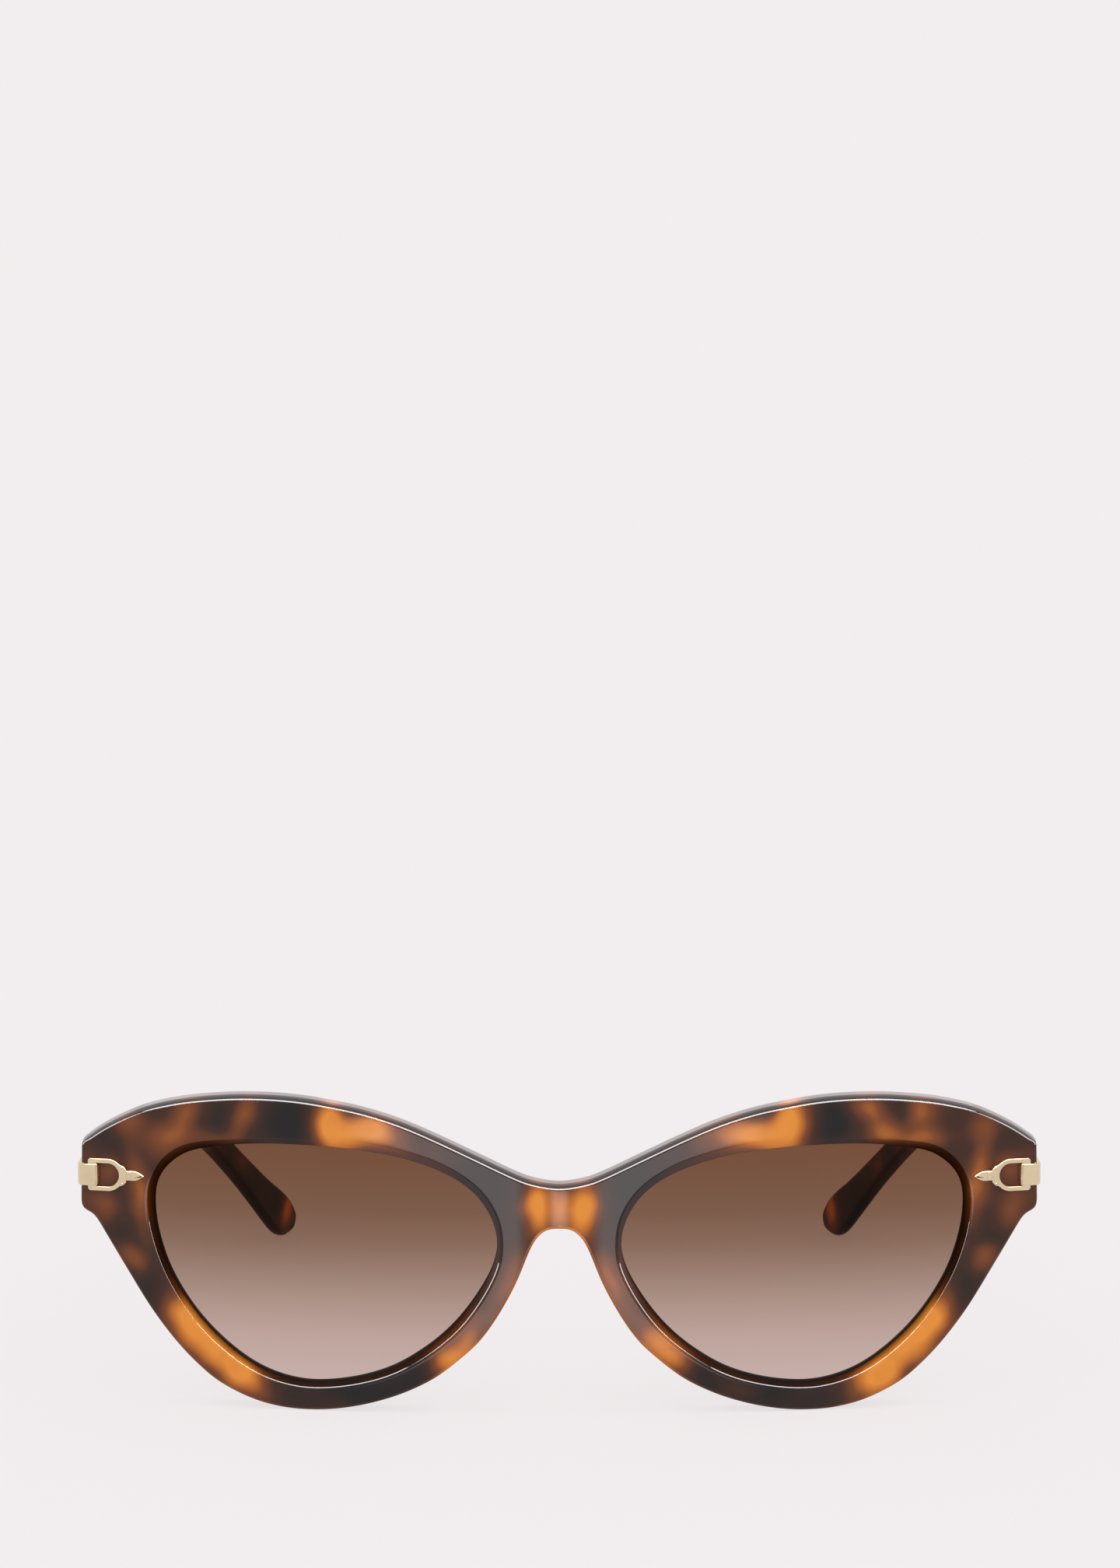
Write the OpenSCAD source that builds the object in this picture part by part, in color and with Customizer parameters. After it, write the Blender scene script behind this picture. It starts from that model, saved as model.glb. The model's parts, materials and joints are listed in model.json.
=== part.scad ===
// Cat eye sunglasses: acetate front, two lenses, two folding temples, metal trims and hinges.
// Millimetres. +Z up, the front faces -Y, the temples run back along +Y. Standing open on a floor at z = 0.
// "left" is the wearer's left, which is the +X side.

/* [Front] */
// Radius of the front's face, seen from above
face_radius = 280; // [200:5:400]
// Thickness of the front
front_thick = 5; // [4:0.1:6]
// Depth of the bevel round each lens opening
bevel_depth = 0.9; // [0.4:0.1:1.4]
// Depth of the groove that holds the lens
groove_depth = 0.8; // [0.5:0.1:1.2]
// Back face of the end pieces, where the temples butt
lug_back = 14.4; // [13.5:0.1:16]

/* [Nose pads] */
// Thickness of a nose pad
pad_thick = 3.2; // [2.4:0.1:4]
// Slant of the pads, which follow the nasal rims
pad_tilt = 30.5; // [25:0.5:35]

/* [Lenses] */
// Radius of the lens's front surface
lens_radius = 200; // [130:5:300]
// Thickness of a lens
lens_thick = 1.8; // [1.4:0.1:2.4]
// Depth of the lens's middle behind the face
lens_inset = 1.2; // [0.6:0.1:1.6]
// Gap between a lens and its groove, all round
lens_gap = 0.05; // [0.02:0.01:0.1]

/* [Temples] */
// Outer side of a temple at the hinge
temple_x = 73.6; // [72:0.1:74]
// Thickness of a temple at the hinge
temple_thick = 3.8; // [3:0.1:4.5]
// Radius of a temple's outer side, seen from above
outer_bow = 343; // [300:1:500]
// Radius of a temple's inner side, seen from above
inner_bow = 375; // [300:1:520]
// Gap between a temple and the end piece, open
butt_gap = 0.06; // [0.03:0.01:0.2]
// Width of the steel core inside a temple
core_wide = 1.1; // [0.8:0.1:1.4]
// Height of the steel core inside a temple
core_tall = 1.6; // [1:0.1:2.4]

/* [Hinges] */
// Hinge line, from the middle plane
hinge_x = 68.2; // [66:0.1:69]
// Hinge line, behind the bridge
hinge_y = 16; // [15:0.1:18]
// Bottom of the lowest knuckle
knuckle_z = 31.2; // [30:0.1:33]
// Height of one knuckle
knuckle_tall = 1.4; // [1:0.1:1.6]
// Gap between two knuckles
knuckle_gap = 0.05; // [0.03:0.01:0.1]
// Outside radius of a knuckle
knuckle_r = 1.5; // [1.2:0.1:1.6]
// Radius of the hinge screw
screw_r = 0.7; // [0.5:0.05:0.8]
// Running clearance of the screw in the temple's knuckles
screw_gap = 0.03; // [0.01:0.01:0.08]
// Thickness of a hinge leaf
leaf_thick = 0.9; // [0.6:0.1:1.2]

/* [Trims] */
// Middle of the trim, measured out along the front
trim_x = 69.05; // [67:0.05:71]
// Height of the trim's middle
trim_z = 35.6; // [33:0.05:37]
// How far the ring stands out of the face
trim_proud = 0.75; // [0.5:0.05:1.2]
// Outside radius of the ring's round end
ring_r = 2.52; // [2:0.02:3]
// Radius of the round end of the ring's hole
ring_hole_r = 1.81; // [1.4:0.01:2.2]
// Radius of a trim's fixing pin
trim_pin_r = 0.4; // [0.3:0.05:0.6]

/* [Hidden] */
$fn = 96;
// Facets of the large arcs and of the lens's sphere
fine = 400;
// Middle of the whole object, front to back, so that it lies on the row's origin
mid_y = 69.06;
// Face angle at the trim and at the lens's middle
trim_turn = asin(trim_x / face_radius);
lens_turn = asin(36.5 / face_radius);
lens_axis = face_radius - lens_inset - lens_radius;
// Middle of a nose pad, out from the middle plane and up
pad_at = [10.2, 17.8];
// Distance of each pad sphere's centre from the pad's middle
pad_reach = 14.5;
knuckle_step = knuckle_tall + knuckle_gap;
hinge_top = knuckle_z + 5 * knuckle_tall + 4 * knuckle_gap;

// Upper edge of the front's right half, from the bridge to the corner
brow = [[0, 35.4], [4, 36], [7, 37.1], [12.5, 39.7], [18.5, 42.5], [24, 44.8], [29.5, 46.5],
    [35.5, 47.7], [41, 48.4], [47, 48.6], [52.5, 48.3], [58.5, 47.5], [64.5, 45.9], [70, 43.2], [73.8, 40.6]];
// Lower edge of the right half, from the end piece down round the rim to the bridge
cheek = [[74, 31.2], [73.75, 30.2], [73.1, 29.7], [72, 29.1], [71.1, 27.9], [70.3, 26.6], [66.7, 20.7],
    [63.1, 15], [59.4, 10.2], [55.8, 6.5], [52.2, 3.7], [47.3, 1.4], [42.5, 0.25], [37.7, 0], [33, 0.4],
    [28, 1.5], [23.2, 3.2], [18.5, 5.7], [13.7, 9.6], [11.3, 12.2], [8.9, 15.8], [6.5, 20.3],
    [4.4, 25.4], [3.2, 27.4], [1.8, 28.5], [0, 28.7]];
// Lens opening behind the bevel
opening = [[38, 41.1], [30.5, 40.5], [24, 39.4], [17.8, 37.3], [13.4, 34.5], [10.7, 31], [9.5, 27],
    [10.1, 22.8], [12.5, 18.2], [16.2, 13.4], [20.8, 9.4], [26.4, 6.2], [33, 4.4], [39.5, 4.1],
    [45.6, 5.8], [51.1, 9.4], [56, 14.4], [59.8, 20.4], [61.9, 26.6], [62.4, 32], [61.4, 35.6],
    [58.8, 38.4], [55, 40], [47, 41.1]];
// Outer edge of the bevel on the face
bevel = [[38, 42.3], [30.5, 42.1], [24, 40.9], [17.5, 38.7], [12.3, 35.2], [9.6, 31.2], [8.8, 27],
    [9.3, 22.8], [11.7, 17.9], [15.4, 13], [20.2, 9], [26, 5.8], [32.9, 4], [39.7, 3.7], [46.1, 5.4],
    [51.9, 9.1], [56.7, 14], [60.5, 20], [62.8, 26.2], [63.6, 32], [62.8, 35.9], [60.6, 39.1],
    [56.5, 41.2], [47.5, 42.2]];
// Side outline of a temple: length back from the bridge, and height
arm_top = [[14.4, 39], [30, 37.6], [50, 35.7], [70, 33.7], [84, 32], [94, 29.7], [101, 26.5], [109, 21.8],
    [118, 16.7], [126, 12.1], [132, 8.8], [135.6, 6.4], [137.8, 3.8], [138, 1.9], [136.8, 0.5], [134.4, 0]];
arm_low = [[132.6, 0.1], [130.6, 0.9], [128.4, 2.3], [125.5, 4.5], [120, 8.7], [114, 13], [107, 17.5],
    [101, 21], [95, 24], [88, 26], [76, 27.4], [60, 28.5], [40, 29.7], [25, 30.3], [14.4, 30.6]];
// Middle line of the steel core
core_line = [[17.5, 34.8], [30, 33.9], [50, 32.1], [70, 30.5], [84, 29], [94, 26.8], [101, 23.7],
    [109, 19], [118, 13.2], [124, 9.2]];

// One step of a smooth curve through points a, b, c, d, between b and c
function blend(a, b, c, d, t) =
    0.5 * (2 * b + (c - a) * t + (2 * a - 5 * b + 4 * c - d) * t * t + (3 * b - a - 3 * c + d) * t * t * t);
function ring_curve(p, n) =
    [for (i = [0 : len(p) - 1]) for (k = [0 : n - 1])
        blend(p[(i + len(p) - 1) % len(p)], p[i], p[(i + 1) % len(p)], p[(i + 2) % len(p)], k / n)];
function before(p, i) = i > 0 ? p[i - 1] : 2 * p[0] - p[1];
function after(p, i) = i + 2 < len(p) ? p[i + 2] : 2 * p[len(p) - 1] - p[len(p) - 2];
function run_curve(p, n) =
    concat([for (i = [0 : len(p) - 2]) for (k = [0 : n - 1])
        blend(before(p, i), p[i], p[i + 1], after(p, i), k / n)], [p[len(p) - 1]]);
function turned(p) = [for (i = [len(p) - 1 : -1 : 0]) p[i]];
function mirrored(p) = [for (q = p) [-q[0], q[1]]];
// Depth of the face behind the bridge at x
function face_y(x) = face_radius - sqrt(face_radius * face_radius - x * x);
function unit(v) = v / norm(v);
// Closed outline moved outwards by d
function grown(p, d) =
    [for (i = [0 : len(p) - 1])
        let (t = unit(p[(i + 1) % len(p)] - p[(i + len(p) - 1) % len(p)])) p[i] + d * [t[1], -t[0]]];

half_front = concat(run_curve(brow, 3), run_curve(cheek, 2));
front_outline = concat(half_front, turned(mirrored(half_front)));
opening_line = ring_curve(opening, 3);
bevel_line = ring_curve(bevel, 3);

module front_place() {
    translate([0, -mid_y, 0])
        children();
}

module both(side) {
    front_place()
        mirror([side < 0 ? 1 : 0, 0, 0])
            children();
}

// A flat outline in x and z, pushed through from y0 to y1
module through(points, y0, y1) {
    translate([0, y1, 0])
        rotate([90, 0, 0])
            linear_extrude(y1 - y0)
                polygon(points);
}

module front_shell() {
    intersection() {
        through(front_outline, -1, 20);
        difference() {
            translate([0, face_radius, -1])
                cylinder(r = face_radius, h = 60, $fn = fine);
            translate([0, face_radius, -2])
                cylinder(r = face_radius - front_thick, h = 62, $fn = fine);
        }
        translate([-80, -1, -1])
            cube([160, lug_back + 1, 60]);
    }
}

// Solid end piece behind the face, flat at the back for the temple and the hinge
module end_lug() {
    intersection() {
        through(front_outline, -1, 20);
        translate([0, face_radius, -1])
            cylinder(r = face_radius, h = 60, $fn = fine);
        translate([63.2, 9, 29.2])
            cube([10.8, lug_back - 9, 9.9]);
    }
}

// Bevel cutter: two rings that follow the curved face
module bevel_cutter() {
    n = len(bevel_line);
    outer = [for (i = [0 : n - 1])
        let (p = opening_line[i] + 1.3 * (bevel_line[i] - opening_line[i]))
            [p[0], face_y(p[0]) - 0.3 * bevel_depth, p[1]]];
    inner = [for (i = [0 : n - 1])
        let (p = opening_line[i]) [p[0], face_y(p[0]) + bevel_depth, p[1]]];
    points = concat(outer, inner, [[36, -2, 23], [36, 3, 23]]);
    front_fan = [for (i = [0 : n - 1]) [2 * n, (i + 1) % n, i]];
    back_fan = [for (i = [0 : n - 1]) [2 * n + 1, n + i, n + (i + 1) % n]];
    wall_a = [for (i = [0 : n - 1]) [i, (i + 1) % n, n + (i + 1) % n]];
    wall_b = [for (i = [0 : n - 1]) [i, n + (i + 1) % n, n + i]];
    polyhedron(points, concat(front_fan, back_fan, wall_a, wall_b));
}

// Curved sheet that a lens or its groove is cut from
module lens_sheet(gap) {
    translate([lens_axis * sin(lens_turn), face_radius - lens_axis * cos(lens_turn), 23.2])
        difference() {
            sphere(r = lens_radius + gap, $fn = fine);
            sphere(r = lens_radius - lens_thick - gap, $fn = fine);
        }
}

module lens_blank(reach, gap) {
    intersection() {
        through(grown(opening_line, reach), -2, 14);
        lens_sheet(gap);
    }
}

module trim_frame() {
    translate([trim_x, face_y(trim_x), trim_z])
        rotate([0, 0, trim_turn])
            children();
}

// Fixing pins of a trim: under the bar and under the crest
module trim_pins(r, long) {
    trim_frame() {
        translate([2.95, long, 0])
            rotate([90, 0, 0])
                cylinder(r = r, h = long + 0.2, $fn = 32);
        translate([-2.5, long, 0])
            rotate([90, 0, 0])
                cylinder(r = r, h = long + 0.2, $fn = 32);
    }
}

// Front leaf's plate, let into the back of the end piece
module front_plate(gap) {
    translate([63.7 - gap, lug_back - leaf_thick - gap, knuckle_z - gap])
        cube([5.9 + 2 * gap, leaf_thick + gap + 2, hinge_top - knuckle_z + 2 * gap]);
}

// Temple leaf's plate, let into the temple's inner side
module temple_plate(gap) {
    translate([temple_x - temple_thick - 0.1 - gap, 17.6 - gap, knuckle_z + knuckle_step - gap])
        cube([leaf_thick + 0.1 + gap, 8 + 2 * gap, 4.3 + 2 * gap]);
}

module half_cutters() {
    through(opening_line, -3, 20);
    bevel_cutter();
    lens_blank(groove_depth, lens_gap);
    trim_pins(trim_pin_r + 0.02, 1.9);
    front_plate(0.03);
}

module front_frame() {
    color([0.32, 0.17, 0.1])
        front_place()
            difference() {
                union() {
                    front_shell();
                    end_lug();
                    mirror([1, 0, 0])
                        end_lug();
                }
                half_cutters();
                mirror([1, 0, 0])
                    half_cutters();
            }
}

module lens(side) {
    color([0.45, 0.3, 0.24, 0.6])
        both(side)
            lens_blank(groove_depth - lens_gap, 0);
}

module pad_sphere(way) {
    translate([pad_at[0] + way * pad_reach * cos(pad_tilt), 5, pad_at[1] + way * pad_reach * sin(pad_tilt)])
        sphere(r = pad_reach + pad_thick / 2, $fn = 200);
}

// Nose pad: a rounded bump on the back of the nasal rim
module nose_pad(side) {
    color([0.3, 0.16, 0.1])
        both(side)
            intersection() {
                translate([pad_at[0], 2.4, pad_at[1]])
                    rotate([0, pad_tilt, 0])
                        rotate([0, 90, 0])
                            cylinder(r = 8, h = 12, center = true, $fn = 200);
                pad_sphere(1);
                pad_sphere(-1);
                translate([0, face_radius, 0])
                    cylinder(r = face_radius - front_thick - 0.01, h = 60, $fn = fine);
            }
}

module hinge_barrel(i, r) {
    translate([hinge_x, hinge_y, knuckle_z + i * knuckle_step])
        cylinder(r = r, h = knuckle_tall, $fn = 48);
}

module hinge_hole(r) {
    translate([hinge_x, hinge_y, knuckle_z - 1])
        cylinder(r = r, h = 10, $fn = 48);
}

module hinge_front(side) {
    color([0.8, 0.7, 0.5])
        both(side)
            difference() {
                union() {
                    translate([63.7, lug_back - leaf_thick, knuckle_z])
                        cube([5.9, leaf_thick, hinge_top - knuckle_z]);
                    for (i = [0, 2, 4]) {
                        hinge_barrel(i, knuckle_r);
                        translate([hinge_x - 1, lug_back - 0.3, knuckle_z + i * knuckle_step])
                            cube([2, hinge_y - lug_back + 0.3, knuckle_tall]);
                    }
                }
                hinge_hole(screw_r + screw_gap);
            }
}

module hinge_temple(side) {
    color([0.8, 0.7, 0.5])
        both(side)
            difference() {
                union() {
                    temple_plate(0);
                    for (i = [1, 3]) {
                        hinge_barrel(i, knuckle_r);
                        translate([68.7, hinge_y, knuckle_z + i * knuckle_step])
                            cube([1, 3.2, knuckle_tall]);
                    }
                }
                hinge_hole(screw_r + screw_gap);
            }
}

module hinge_screw(side) {
    color([0.85, 0.76, 0.58])
        both(side)
            translate([hinge_x, hinge_y, 0])
                difference() {
                    union() {
                        translate([0, 0, knuckle_z])
                            cylinder(r = screw_r, h = hinge_top - knuckle_z, $fn = 32);
                        translate([0, 0, hinge_top])
                            cylinder(r = 1.2, h = 0.5, $fn = 32);
                    }
                    translate([-1.5, -0.15, hinge_top + 0.25])
                        cube([3, 0.3, 1]);
                }
}

// Strip between two bows, seen from above, that a temple or its core is cut from
module bow_strip(out_r, out_x, in_r, in_x) {
    difference() {
        translate([out_x - out_r, 14, -1])
            cylinder(r = out_r, h = 60, $fn = fine);
        translate([in_x - in_r, 14, -2])
            cylinder(r = in_r, h = 62, $fn = fine);
    }
}

// A flat outline in y and z, pushed through the temple's width
module side_cut(points) {
    translate([40, 0, 0])
        rotate([90, 0, 90])
            linear_extrude(40)
                polygon(points);
}

module core_blank(gap) {
    line = run_curve(core_line, 3);
    half = core_tall / 2 + gap;
    upper = [for (p = line) p + [0, half]];
    lower = [for (p = line) p - [0, half]];
    first = line[0] - [gap, 0];
    intersection() {
        side_cut(concat([first + [0, half]], upper, turned(lower), [first - [0, half]]));
        bow_strip(360, temple_x - 1.25 + gap, 362, temple_x - 1.25 - core_wide - gap);
    }
}

module temple(side) {
    color([0.24, 0.13, 0.09])
        both(side)
            difference() {
                intersection() {
                    side_cut(concat(run_curve(arm_top, 3), run_curve(arm_low, 3)));
                    bow_strip(outer_bow, temple_x, inner_bow, temple_x - temple_thick);
                    translate([40, lug_back + butt_gap, -1])
                        cube([40, 130, 50]);
                }
                temple_plate(0.03);
                core_blank(0.03);
            }
}

module core_wire(side) {
    color([0.6, 0.6, 0.62])
        both(side)
            core_blank(0);
}

// Ring, crest and pointed strap of a trim, as flat outlines in the face's own plane
module ring_plan() {
    difference() {
        union() {
            translate([0.36, 0])
                circle(r = ring_r);
            translate([0.36, -ring_r])
                square([2.9, 2 * ring_r]);
            translate([3.2, -ring_r + 0.35])
                square([0.4, 2 * ring_r - 0.7]);
            translate([3.25, ring_r - 0.35])
                circle(r = 0.35, $fn = 24);
            translate([3.25, 0.35 - ring_r])
                circle(r = 0.35, $fn = 24);
        }
        translate([0.36, 0])
            circle(r = ring_hole_r);
        translate([0.36, -ring_hole_r])
            square([1.97, 2 * ring_hole_r]);
    }
}

module crest_plan() {
    polygon([[-1.5, 1.55], [-1.9, 1.6], [-2.25, 1.5], [-2.75, 0.95], [-2.75, -0.95], [-2.25, -1.5],
        [-1.9, -1.6], [-1.5, -1.55]]);
}

module point_plan() {
    intersection() {
        translate([-5.55, -0.8])
            square([3.7, 1.6]);
        translate([-4.05, -1.05])
            circle(r = 1.87);
        translate([-4.05, 1.05])
            circle(r = 1.87);
    }
    translate([-4, -0.8])
        square([2.1, 1.6]);
}

module raised(high) {
    rotate([90, 0, 0])
        linear_extrude(high)
            children();
}

// Strap that wraps the corner of the end piece, seen from above
strap_plan = [[71.55, 9.6], [71.7, 8.45], [71.95, 8.25], [72.3, 8.3], [73.3, 8.62], [73.85, 8.85], [74.15, 9.3],
    [74.33, 9.9], [74.35, lug_back - 0.3], [74.15, lug_back], [73, lug_back], [72.6, 10.4]];

module strap() {
    difference() {
        translate([0, 0, trim_z - 1.68])
            linear_extrude(3.36)
                polygon(strap_plan);
        intersection() {
            translate([0, face_radius, 0])
                cylinder(r = face_radius, h = 60, $fn = fine);
            translate([60, 5, 0])
                cube([14, 20, 60]);
        }
    }
}

module trim(side) {
    color([0.86, 0.76, 0.58])
        both(side) {
            difference() {
                union() {
                    trim_frame() {
                        raised(trim_proud)
                            ring_plan();
                        raised(0.9)
                            crest_plan();
                        raised(0.65)
                            point_plan();
                        translate([-2.05, -0.75, 1.25])
                            sphere(r = 0.28, $fn = 24);
                        translate([-2.05, -0.75, -1.25])
                            sphere(r = 0.28, $fn = 24);
                    }
                    strap();
                    trim_pins(trim_pin_r, 1.8);
                }
                // keep only what lies outside the curved face, apart from the pins
                difference() {
                    translate([0, face_radius, 0])
                        cylinder(r = face_radius, h = 60, $fn = fine);
                    trim_pins(trim_pin_r + 0.01, 3);
                    translate([74, 0, 0])
                        cube([5, 30, 60]);
                }
            }
        }
}

module lens_left() {
    lens(1);
}

module lens_right() {
    lens(-1);
}

module nose_pad_left() {
    nose_pad(1);
}

module nose_pad_right() {
    nose_pad(-1);
}

module hinge_front_left() {
    hinge_front(1);
}

module hinge_front_right() {
    hinge_front(-1);
}

module hinge_temple_left() {
    hinge_temple(1);
}

module hinge_temple_right() {
    hinge_temple(-1);
}

module hinge_screw_left() {
    hinge_screw(1);
}

module hinge_screw_right() {
    hinge_screw(-1);
}

module temple_left() {
    temple(1);
}

module temple_right() {
    temple(-1);
}

module core_wire_left() {
    core_wire(1);
}

module core_wire_right() {
    core_wire(-1);
}

module trim_left() {
    trim(1);
}

module trim_right() {
    trim(-1);
}

front_frame();
lens_left();
lens_right();
nose_pad_left();
nose_pad_right();
trim_left();
trim_right();
hinge_front_left();
hinge_front_right();
hinge_temple_left();
hinge_temple_right();
hinge_screw_left();
hinge_screw_right();
temple_left();
temple_right();
core_wire_left();
core_wire_right();
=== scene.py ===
"""Cat eye sunglasses: tortoiseshell acetate front and temples, gradient lenses, pale gold trims and hinges.

Shapes are worked out in the part's own millimetres, with y = 0 on the face at the bridge, and moved into the
frame by place(). "left" is the wearer's left, the +X side.
"""
import json
import math

import bmesh
import bpy
import numpy as np
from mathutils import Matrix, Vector

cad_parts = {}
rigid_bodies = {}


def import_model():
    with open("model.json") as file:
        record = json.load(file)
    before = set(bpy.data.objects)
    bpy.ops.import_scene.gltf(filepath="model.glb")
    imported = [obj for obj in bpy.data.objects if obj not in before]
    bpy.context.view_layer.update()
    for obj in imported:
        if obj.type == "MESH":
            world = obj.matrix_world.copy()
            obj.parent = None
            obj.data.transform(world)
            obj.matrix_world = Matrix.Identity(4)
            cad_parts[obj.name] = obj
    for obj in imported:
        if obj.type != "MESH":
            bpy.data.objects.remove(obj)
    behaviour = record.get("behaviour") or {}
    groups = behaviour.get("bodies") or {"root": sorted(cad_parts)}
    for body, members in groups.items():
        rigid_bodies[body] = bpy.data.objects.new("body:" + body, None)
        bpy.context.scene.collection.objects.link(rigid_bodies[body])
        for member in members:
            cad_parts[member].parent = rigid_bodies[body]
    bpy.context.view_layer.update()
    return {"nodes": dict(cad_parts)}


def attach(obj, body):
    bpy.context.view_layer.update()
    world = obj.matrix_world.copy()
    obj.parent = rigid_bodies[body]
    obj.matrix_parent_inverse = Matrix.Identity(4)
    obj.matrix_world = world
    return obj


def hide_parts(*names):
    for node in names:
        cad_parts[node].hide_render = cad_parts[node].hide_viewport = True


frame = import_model()

MID_Y = 69.06  # how far the frame's origin lies behind the bridge
FACE_R = 280.0  # radius of the face, seen from above
THICK = 5.0  # thickness of the front
LUG_BACK = 14.35  # flat back of the end pieces
TALLEST = 48.6  # the front's highest point
RIM_CENTRE = np.array([36.0, 33.0])  # every rim station lies on a ray from here

# Outlines in mm. Those of the front are x and z of its +X half: its upper edge from the bridge to the corner,
# its lower edge from the corner to the bridge, the lens opening, and the outer edge of the opening's bevel.
BROW = [(0, 35.4), (4, 36), (7, 37.1), (12.5, 39.7), (18.5, 42.5), (24, 44.8), (29.5, 46.5), (35.5, 47.7),
        (41, 48.4), (47, 48.6), (52.5, 48.3), (58.5, 47.5), (64.5, 45.9), (70, 43.2), (73.8, 40.6)]
CHEEK = [(74, 31.2), (73.75, 30.2), (73.1, 29.7), (72, 29.1), (71.1, 27.9), (70.3, 26.6), (66.7, 20.7),
         (63.1, 15), (59.4, 10.2), (55.8, 6.5), (52.2, 3.7), (47.3, 1.4), (42.5, 0.25), (37.7, 0), (33, 0.4),
         (28, 1.5), (23.2, 3.2), (18.5, 5.7), (13.7, 9.6), (11.3, 12.2), (8.9, 15.8), (6.5, 20.3),
         (4.4, 25.4), (3.2, 27.4), (1.8, 28.5), (0, 28.7)]
OPENING = [(38, 41.1), (30.5, 40.5), (24, 39.4), (17.8, 37.3), (13.4, 34.5), (10.7, 31), (9.5, 27),
           (10.1, 22.8), (12.5, 18.2), (16.2, 13.4), (20.8, 9.4), (26.4, 6.2), (33, 4.4), (39.5, 4.1),
           (45.6, 5.8), (51.1, 9.4), (56, 14.4), (59.8, 20.4), (61.9, 26.6), (62.4, 32), (61.4, 35.6),
           (58.8, 38.4), (55, 40), (47, 41.1)]
BEVEL = [(38, 42.3), (30.5, 42.1), (24, 40.9), (17.5, 38.7), (12.3, 35.2), (9.6, 31.2), (8.8, 27),
         (9.3, 22.8), (11.7, 17.9), (15.4, 13), (20.2, 9), (26, 5.8), (32.9, 4), (39.7, 3.7), (46.1, 5.4),
         (51.9, 9.1), (56.7, 14), (60.5, 20), (62.8, 26.2), (63.6, 32), (62.8, 35.9), (60.6, 39.1),
         (56.5, 41.2), (47.5, 42.2)]
# The temples' upper and lower edge from the front end to the tip, as y and z
ARM_TOP = [(14.4, 39), (30, 37.6), (50, 35.7), (70, 33.7), (84, 32), (94, 29.7), (101, 26.5), (109, 21.8),
           (118, 16.7), (126, 12.1), (132, 8.8), (135.6, 6.4), (137.8, 3.8), (138, 1.9)]
ARM_LOW = [(14.4, 30.6), (25, 30.3), (40, 29.7), (60, 28.5), (76, 27.4), (88, 26), (95, 24), (101, 21),
           (107, 17.5), (114, 13), (120, 8.7), (125.5, 4.5), (128.4, 2.3), (130.6, 0.92), (132.6, 0.16),
           (134.4, 0.05), (136.8, 0.52), (138, 1.9)]


# ---------------------------------------------------------------- curves

def smooth_run(points, n, closed=False, mirror_start=False, mirror_end=False):
    """Catmull-Rom curve through points, n steps each."""
    p = [np.array(q, float) for q in points]
    if closed:
        p = [p[-1]] + p + [p[0], p[1]]
    else:
        flip = np.array([-1.0, 1.0])
        first = p[1] * flip if mirror_start else 2 * p[0] - p[1]
        last = p[-2] * flip if mirror_end else 2 * p[-1] - p[-2]
        p = [first] + p + [last]
    out = []
    for a, b, c, d in zip(p, p[1:], p[2:], p[3:]):
        for k in range(n):
            t = k / n
            out.append(0.5 * (2 * b + (c - a) * t + (2 * a - 5 * b + 4 * c - d) * t ** 2
                              + (3 * b - a - 3 * c + d) * t ** 3))
    if not closed:
        out.append(p[-2])
    return np.array(out)


def even(line, step):
    """The line at even steps along its length."""
    d = np.r_[0, np.cumsum(np.linalg.norm(np.diff(line, axis=0), axis=1))]
    s = np.linspace(0, d[-1], int(round(d[-1] / step)) + 1)
    return np.stack([np.interp(s, d, line[:, k]) for k in range(line.shape[1])], 1)


def blur(line, sigma):
    """Gaussian blur of an evenly spaced line that is mirrored across x = 0 past both ends."""
    k = int(4 * sigma)
    w = np.exp(-0.5 * (np.arange(-k, k + 1) / sigma) ** 2)
    other = line * [-1, 1]
    long = np.concatenate([other[k:0:-1], line, other[-2:-k - 2:-1]])
    return np.stack([np.convolve(long[:, a], w / w.sum(), "valid") for a in (0, 1)], 1)


def step_up(lo, hi, v):
    """Smooth step of v from 0 at lo to 1 at hi."""
    t = np.clip((v - lo) / (hi - lo), 0, 1)
    return t * t * (3 - 2 * t)


def face_y(x):
    """Depth of the curved face behind the bridge."""
    return FACE_R - np.sqrt(FACE_R ** 2 - np.square(x))


def place(points):
    """Part millimetres to frame metres."""
    return (np.asarray(points, float) - [0, MID_Y, 0]) * 0.001


# ---------------------------------------------------------------- pieces

def grid_faces(rows, cols, wrap_cols=False, flip=False):
    """Four-sided faces between the points of a grid, given row by row."""
    faces = []
    for r in range(rows - 1):
        for c in range(cols if wrap_cols else cols - 1):
            q = (r * cols + c, r * cols + (c + 1) % cols, (r + 1) * cols + (c + 1) % cols, (r + 1) * cols + c)
            faces.append(q[::-1] if flip else q)
    return faces


def tube_faces(rows, cols):
    """Faces of a closed body: rings of points, with the first and the last ring filled in."""
    last = (rows - 1) * cols
    return grid_faces(rows, cols, wrap_cols=True) + [tuple(range(cols))[::-1], tuple(range(last, last + cols))]


def new_object(name, data):
    obj = bpy.data.objects.new(name, data)
    bpy.context.scene.collection.objects.link(obj)
    return obj


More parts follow.
